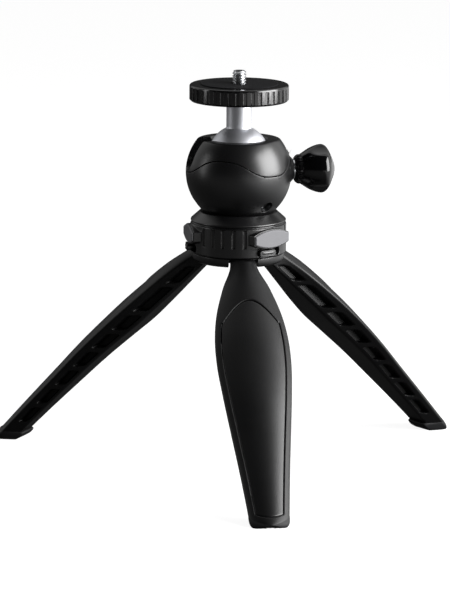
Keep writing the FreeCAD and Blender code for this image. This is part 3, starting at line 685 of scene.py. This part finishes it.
def ringShares(rows):
    # the parts of the ring and each point's share of its part, where an outer share is of the half width
    seam = (1 - panel["margin"] / legSection(rows)[0])[:, None]
    strip = np.concatenate([ring["strip"], np.array(panel["rimSteps"]) / panel["margin"]])
    field = np.concatenate([[ring["besideSeam"]], np.linspace(ring["fieldFrom"], 0, ring["fieldSteps"])])
    half = np.concatenate([seam + (1 - seam) * strip, seam * field], 1)
    flank = np.linspace(ring["flankFrom"], ring["flankTo"], ring["flankSteps"])
    bend = np.linspace(0, 1, ring["cornerSteps"])[1:-1]
    inner = np.linspace(ring["innerFace"], -ring["innerFace"], ring["innerSteps"])
    plan = (("outer", np.concatenate([-half, half[:, -2::-1]], 1)), ("cornerOuter", bend), ("flank", flank),
            ("cornerInner", bend), ("bottom", inner), ("cornerInnerBack", bend), ("flankBack", flank[::-1]),
            ("cornerOuterBack", bend))
    kinds = np.repeat([kind for kind, shares in plan], [shares.shape[-1] for kind, shares in plan])
    return kinds, np.concatenate([np.broadcast_to(shares, (len(rows), shares.shape[-1]))
                                  for kind, shares in plan], 1), seam


def ringOutline(kinds, value, half, edge, bulge, depth, inner):
    # across and out for each point: an outer face that bulges by a parabola, straight flanks and inner face,
    # and corners as quadratic curves drawn towards the corner itself
    def flankAt(share):
        return half + (inner - half) * share, edge - depth * share

    def outerAt(t):
        return half * t, edge + bulge * (1 - t ** 2)

    outerEnd = np.clip(1 - leg["edgeRound"] / half, 0, 1)
    across, out = flankAt(value)
    forms = {"outer": outerAt(value * outerEnd), "flank": (across, out), "flankBack": (-across, out),
             "bottom": (inner * value, edge - depth)}
    corners = {"cornerOuter": (outerAt(outerEnd), (half, edge), flankAt(ring["flankFrom"])),
               "cornerInner": (flankAt(ring["flankTo"]), (inner, edge - depth),
                               (inner * ring["innerFace"], edge - depth))}
    for name, (first, middle, last) in corners.items():
        for tail, sign, s in (("", 1, value), ("Back", -1, 1 - value)):
            across, out = [(1 - s) ** 2 * a + 2 * s * (1 - s) * b + s ** 2 * c
                           for a, b, c in zip(first, middle, last)]
            forms[name + tail] = (sign * across, out)
    u = v = np.zeros(np.broadcast(value, half).shape)
    for name, (across, out) in forms.items():
        u, v = np.where(kinds == name, across, u), np.where(kinds == name, out, v)
    return u, v


def legSkin(rows, reachOf, side, heel):
    # rows of rings along the leg: a point's distance along the leg gives its section, and its height on the
    # section gives its distance, so the two are worked out in turn
    kinds, value, seam = ringShares(rows)
    outward = np.where(kinds == "outer", np.abs(value), 1.0)
    lift = archLift(rows) * np.minimum(outward / seam, 1) ** panel["archPower"]
    along = rows[:, None] + lift
    for number in range(leg["rounds"]):
        half, edge, bulge, depth, inner = legSection(along)
        half, inner, depth = half + side, inner + side, depth + heel
        u, v = ringOutline(kinds, value, half, edge, bulge, depth, inner)
        u = u * toeWidth(along, half)
        along = reachOf(rows, lift, v)
    return {"kinds": kinds, "value": value, "along": along, "u": u, "v": v, "half": half, "edge": edge,
            "depth": depth, "inner": inner}


def bodyReach(rows, lift, out):
    # rows square across the leg with the panel's arch, turned to the leg's end near the toe
    along = rows[:, None] + lift + endTurn(rows) * (legEnd(out) - toeEnd)
    along = np.where(rows[:, None] >= toeEnd, legEnd(out), along)
    return np.maximum(along, leg["start"])


def soleReach(rows, lift, out):
    # rows shared out between the leg's end and the sole's own end
    share = ((rows - rows[0]) / (rows[-1] - rows[0]))[:, None]
    return legEnd(out) + (soleEnd(out) - legEnd(out)) * share


def legRows():
    # distances along the leg, closer together where the panel starts and ends
    rim, inside = np.array(legRow["rim"]), legRow["stopInside"]
    top, end = panel["top"], panel["end"]
    above = np.linspace(leg["start"], top - legRow["stopAbove"], legRow["above"])
    under = np.linspace(top + inside, end - inside, legRow["under"])
    below = np.linspace(end + legRow["stopBelow"], toeEnd, legRow["below"])
    return np.concatenate([above, top + rim, under, end - rim[::-1], below])


def pocketInset(along, out, edge, depth):
    # how deep each point of a flank lies in its pocket, 0 to 1: distance to a rounded slot, then a soft wall
    webs = [pocket["start"], pocket["firstWeb"]]
    for number in range(pocket["count"]):
        webs.append(webs[-1] + (pocket["longBay"] if number == 0 else pocket["pitch"]))
    upper = edge - pocket["upper"] * depth
    lower = edge - pocket["lower"] * depth
    middle = (upper + lower) / 2
    level = along - (out - middle) / math.tan(splay)
    deep = np.zeros_like(along)
    for begin, end in zip(webs, webs[1:]):
        sideways = np.abs(level - (begin + end) / 2) - (end - begin - pocket["web"]) / 2 + pocket["corner"]
        upright = np.abs(out - middle) - (upper - lower) / 2 + pocket["corner"]
        outside = np.hypot(np.maximum(sideways, 0), np.maximum(upright, 0))
        distance = outside + np.minimum(np.maximum(sideways, upright), 0) - pocket["corner"]
        deep = np.maximum(deep, smoothStep(-distance / pocket["wall"]))
    return deep


def endRings(along, u, v, endOf):
    # smaller copies of the last ring laid on the end's surface, so the end is flat where it should be
    shares = np.array(ring["endShares"])[:, None]
    centre = v[-1:].mean(axis=1, keepdims=True)
    inU, inV = u[-1:] * shares, centre + (v[-1:] - centre) * shares
    return np.concatenate([along, endOf(inV)]), np.concatenate([u, inU]), np.concatenate([v, inV])


def bodyRings():
    # the leg's skin, sunk by the panel's recess and its sloped rim, by the pockets in its flanks and at the
    # top, where it is level under the hub's stop
    rows = legRows()
    skin = legSkin(rows, bodyReach, 0, 0)
    along, half, inner = skin["along"], skin["half"], skin["inner"]
    beside = np.abs(skin["value"]) * half - (half - panel["margin"])
    outside = np.maximum(np.maximum(beside, panel["top"] - rows[:, None]), rows[:, None] - panel["end"])
    slope = np.clip(1 - outside / panel["rim"], 0, 1) ** panel["rimPower"] * panel["rimDepth"]
    sink = np.where(outside < -panel["seamTouch"], panel["recess"], slope)
    v = skin["v"] - np.where(skin["kinds"] == "outer", sink, 0)
    flanks = np.isin(skin["kinds"], ("flank", "flankBack"))
    deep = np.where(flanks, pocketInset(along, v, skin["edge"], skin["depth"]), 0)
    across = np.abs(skin["u"])
    u = np.sign(skin["u"]) * (across + np.minimum(inner - pocket["floorInset"] - across, 0) * deep)
    stop = nodePoints("leg_front")[:, 2].max()
    v = np.minimum(v, (stop - hingeHeight + along * dropRate) / outRate)
    return endRings(along, u, v, legEnd)


def roundedEdge(away, width):
    # how far a rounded edge lies under its face, by a quarter circle
    return width * (1 - np.sqrt(1 - np.clip(1 - away / width, 0, 1) ** 2))


def panelRings():
    # a slab on the leg's own surface, its rows bent to the same arch: its top and its underside
    length = panel["end"] - panel["top"] - 2 * panel["gap"]
    ends = np.array(panel["endSteps"])
    middle = np.linspace(panel["firstRow"], length - panel["firstRow"], panel["rows"])
    rows = np.concatenate([ends, middle, length - ends[::-1]]) + panel["top"] + panel["gap"]
    sides = np.array(panel["sideShares"])
    middle = np.linspace(panel["midShare"], -panel["midShare"], panel["midSteps"])
    cols = np.concatenate([sides, middle, -sides[::-1]])[::-1]
    base = rows[:, None] + archLift(rows) * np.abs(cols) ** panel["archPower"]
    along = base
    for number in range(leg["rounds"]):
        half, edge, bulge = legSection(along)[:3]
        u = (half - panel["margin"] - panel["gap"]) * cols * (1 - leg["edgeRound"] / half)
        v = edge + bulge * (1 - (u / half) ** 2)
        along = base + endTurn(rows) * (legEnd(v) - toeEnd)
    width = (legSection(rows)[0] - panel["margin"] - panel["gap"])[:, None]
    fromSide = (1 - np.abs(cols)) * width
    fromEnd = np.minimum(rows - rows[0], rows[-1] - rows)[:, None]
    drop = np.maximum(roundedEdge(fromSide, panel["edge"]), roundedEdge(fromEnd, panel["endEdge"]))
    return (along, u, v - panel["step"] - drop), (along, u, v - panel["thick"])


def soleRings():
    # a rubber bead: its sides swell by a blunt bow from the leg to the floor, where they stay out
    share = np.array(sole["shares"])
    swell = np.sqrt(1 - np.abs(2 * share - 1) ** sole["beadPower"])
    swell = np.maximum(swell, np.where(share > 0.5, sole["lowestSwell"], 0))[:, None]
    skin = legSkin(toeEnd - 1 + share, soleReach, sole["sideLip"] * swell, sole["heelLip"] * swell)
    return endRings(skin["along"], skin["u"], skin["v"], soleEnd)


def makeLegs():
    # the same body and panel at each hinge's direction, then the soles, which stand on the floor
    body, (top, under), tread = bodyRings(), panelRings(), soleRings()
    directions = {}
    for side in legSides:
        spot = joints["leg_fold_" + side]["pos_m"]
        directions[side] = math.atan2(spot[1], spot[0])
    for side, azimuth in directions.items():
        mesh = closedSkin("legBody_" + side, legPlace(*body, azimuth))
        replaceNode("legBody_" + side, mesh, "leg_" + side, leg["crease"])
        slab = np.concatenate([legPlace(*top, azimuth), legPlace(*under, azimuth)[:, ::-1]], 1)
        mesh = zippedSkin("legPanel_" + side, slab)
        replaceNode("legPanel_" + side, mesh, "leg_panel_" + side, leg["crease"])
    for side, azimuth in directions.items():
        place = legPlace(*tread, azimuth)
        place[..., 2] = np.maximum(place[..., 2], 0)
        replaceNode("sole_" + side, closedSkin("sole_" + side, place), "foot_" + side, sole["crease"])


makeLegs()
print("legs and soles made")

# Lengths in millimetres and angles in degrees, the azimuth from the front towards the right
camera = {"azimuth": -6.95, "distance": 1600, "height": 398, "focalPixels": 3590, "aimSide": -5.8,
          "aimHeight": 75.1, "roll": 0.35, "pictureHeight": 600, "sensor": 36, "farthest": 50}
turn = math.radians(camera["azimuth"])
towards = np.array([math.sin(turn), -math.cos(turn), 0])
rightward = np.array([math.cos(turn), math.sin(turn), 0])


def standAt(thing, axes, place):
    # an object's matrix from its three axes and its place in metres
    rows = [list(row) + [spot] for row, spot in zip(np.stack(axes, 1), place)]
    thing.matrix_world = Matrix(rows + [[0, 0, 0, 1]])
    scene.collection.objects.link(thing)


def setCamera():
    # the camera looks from its place to its aim, and rolls about that line
    eye = towards * camera["distance"] + [0, 0, camera["height"]]
    aim = rightward * camera["aimSide"] + [0, 0, camera["aimHeight"]]
    ahead = (aim - eye) / np.linalg.norm(aim - eye)
    right = np.cross(ahead, [0, 0, 1])
    right /= np.linalg.norm(right)
    above = np.cross(right, ahead)
    cos, sin = math.cos(math.radians(camera["roll"])), math.sin(math.radians(camera["roll"]))
    lens = bpy.data.cameras.new("photoCamera")
    lens.sensor_width = camera["sensor"]
    lens.lens = camera["focalPixels"] * camera["sensor"] / camera["pictureHeight"]
    lens.clip_end = camera["farthest"]
    scene.camera = bpy.data.objects.new("photoCamera", lens)
    standAt(scene.camera, (cos * right + sin * above, cos * above - sin * right, -ahead), eye * 0.001)


setCamera()

# Soft boxes by the angle from the camera's side of the object, rightward, and their height, in metres
lamps = {
    "rightBox": {"angle": 74, "far": 0.9, "height": 0.41, "size": (0.80, 0.78), "watts": 23.0},
    "leftBox": {"angle": -84, "far": 1.0, "height": 0.35, "size": (0.16, 0.60), "watts": 1.0},
}
lampAim = 0.11  # the height that the boxes face, in metres


def addLamp(name, lamp):
    # a rectangular lamp on a circle round the object, turned to face the column
    light = bpy.data.lights.new(name, "AREA")
    light.shape = "RECTANGLE"
    light.size, light.size_y = lamp["size"]
    light.energy = lamp["watts"]
    bearing = turn + math.radians(lamp["angle"])
    place = np.array([math.sin(bearing) * lamp["far"], -math.cos(bearing) * lamp["far"], lamp["height"]])
    back = place - [0, 0, lampAim]
    back /= np.linalg.norm(back)
    side = np.cross([0, 0, 1], back)
    side /= np.linalg.norm(side)
    standAt(bpy.data.objects.new(name, light), (side, np.cross(back, side), back), place)


for name, lamp in lamps.items():
    addLamp(name, lamp)

# Strengths of the white surroundings, by how far a ray goes backward, from 0 across to 1 straight back
studio = {"front": 0.02, "fill": 0.22, "sideFrom": 0.05, "sideTo": 0.60, "lift": 0.30, "gapFrom": 0.70,
          "gapTo": 0.95, "gap": 0.05, "leftShare": 0.6, "leftFade": 0.4}


def makeStudio():
    # white to the camera and even to matt surfaces; in reflections bright at the back, dark straight behind
    # the object and dimmer at the left
    scene.world = bpy.data.worlds.new("studio")
    scene.world.use_nodes = True
    maker = NodeMaker(scene.world.node_tree, "ShaderNodeOutputWorld")
    direction = maker.add("ShaderNodeTexCoord", {}, {}, "Generated")
    backX, backY = -towards[:2]
    sides = maker.alongAxis(direction, (backX, backY, studio["lift"]), studio["sideFrom"], studio["sideTo"],
                            studio["front"], 1.0)
    gap = maker.alongAxis(direction, (backX, backY, 0.0), studio["gapFrom"], studio["gapTo"], 1.0,
                          studio["gap"])
    left = maker.alongAxis(direction, rightward, -studio["leftFade"], studio["leftFade"],
                           studio["leftShare"], 1.0)
    mirrored = maker.ray("Is Glossy Ray").math("MAXIMUM", maker.ray("Is Transmission Ray"))
    unseen = maker.between(mirrored, studio["fill"], sides * gap * left)
    strength = maker.between(maker.ray("Is Camera Ray"), unseen, 1.0)
    maker.show(maker.add("ShaderNodeBackground", {}, {"Color": tone(1, 1, 1), "Strength": strength}))


makeStudio()

# The floor's share of white to the camera and in reflections, and its colours; a reflection's share grows
# towards the camera, as front, and to the right, over these distances in metres
floorLook = {"radius": 3, "steps": 96, "pale": 0.95, "dark": 0.02, "rough": 0.8, "shine": 0.1,
             "seen": 0.70, "white": 1.29, "reflected": 0.03, "front": 0.07, "frontFrom": 0.05,
             "frontTo": 0.30, "right": 0.80, "rightFrom": 0.08, "rightTo": 0.36}


def floorFinish():
    # white light mixed into a matt floor: pale and mostly white to the camera, so that the shadow stays, and
    # dark to other rays
    finish = Finish("paleFloor")
    seen = finish.ray("Is Camera Ray").math("MAXIMUM", finish.ray("Is Transmission Ray"))
    colour = finish.blend(seen, tone(*[floorLook["dark"]] * 3), tone(*[floorLook["pale"]] * 3))
    finish.set(colour=colour, roughness=floorLook["rough"], specular=floorLook["shine"])
    front, right = [finish.alongAxis(finish.place, axis, floorLook[key + "From"], floorLook[key + "To"],
                                     0.0, floorLook[key])
                    for key, axis in (("front", towards), ("right", rightward))]
    mirrored = front.math("MAXIMUM", right) + floorLook["reflected"]
    share = seen * floorLook["seen"] + finish.ray("Is Glossy Ray") * mirrored
    white = finish.add("ShaderNodeEmission", {}, {"Color": tone(1, 1, 1), "Strength": floorLook["white"]})
    finish.show(finish.add("ShaderNodeMixShader", {}, (share, finish.surface, white)))
    return finish.material


def makeFloor():
    # a wide disc under the feet
    angles = np.linspace(0, 2 * np.pi, floorLook["steps"], endpoint=False)
    points = np.stack([np.cos(angles), np.sin(angles), 0 * angles], 1) * floorLook["radius"]
    mesh = bpy.data.meshes.new("floor")
    mesh.from_pydata(points.tolist(), [], [list(range(floorLook["steps"]))])
    mesh.materials.append(floorFinish())
    floor = bpy.data.objects.new("floor", mesh)
    scene.collection.objects.link(floor)


makeFloor()
scene.view_settings.view_transform = "Standard"
print("camera, stage and light set")
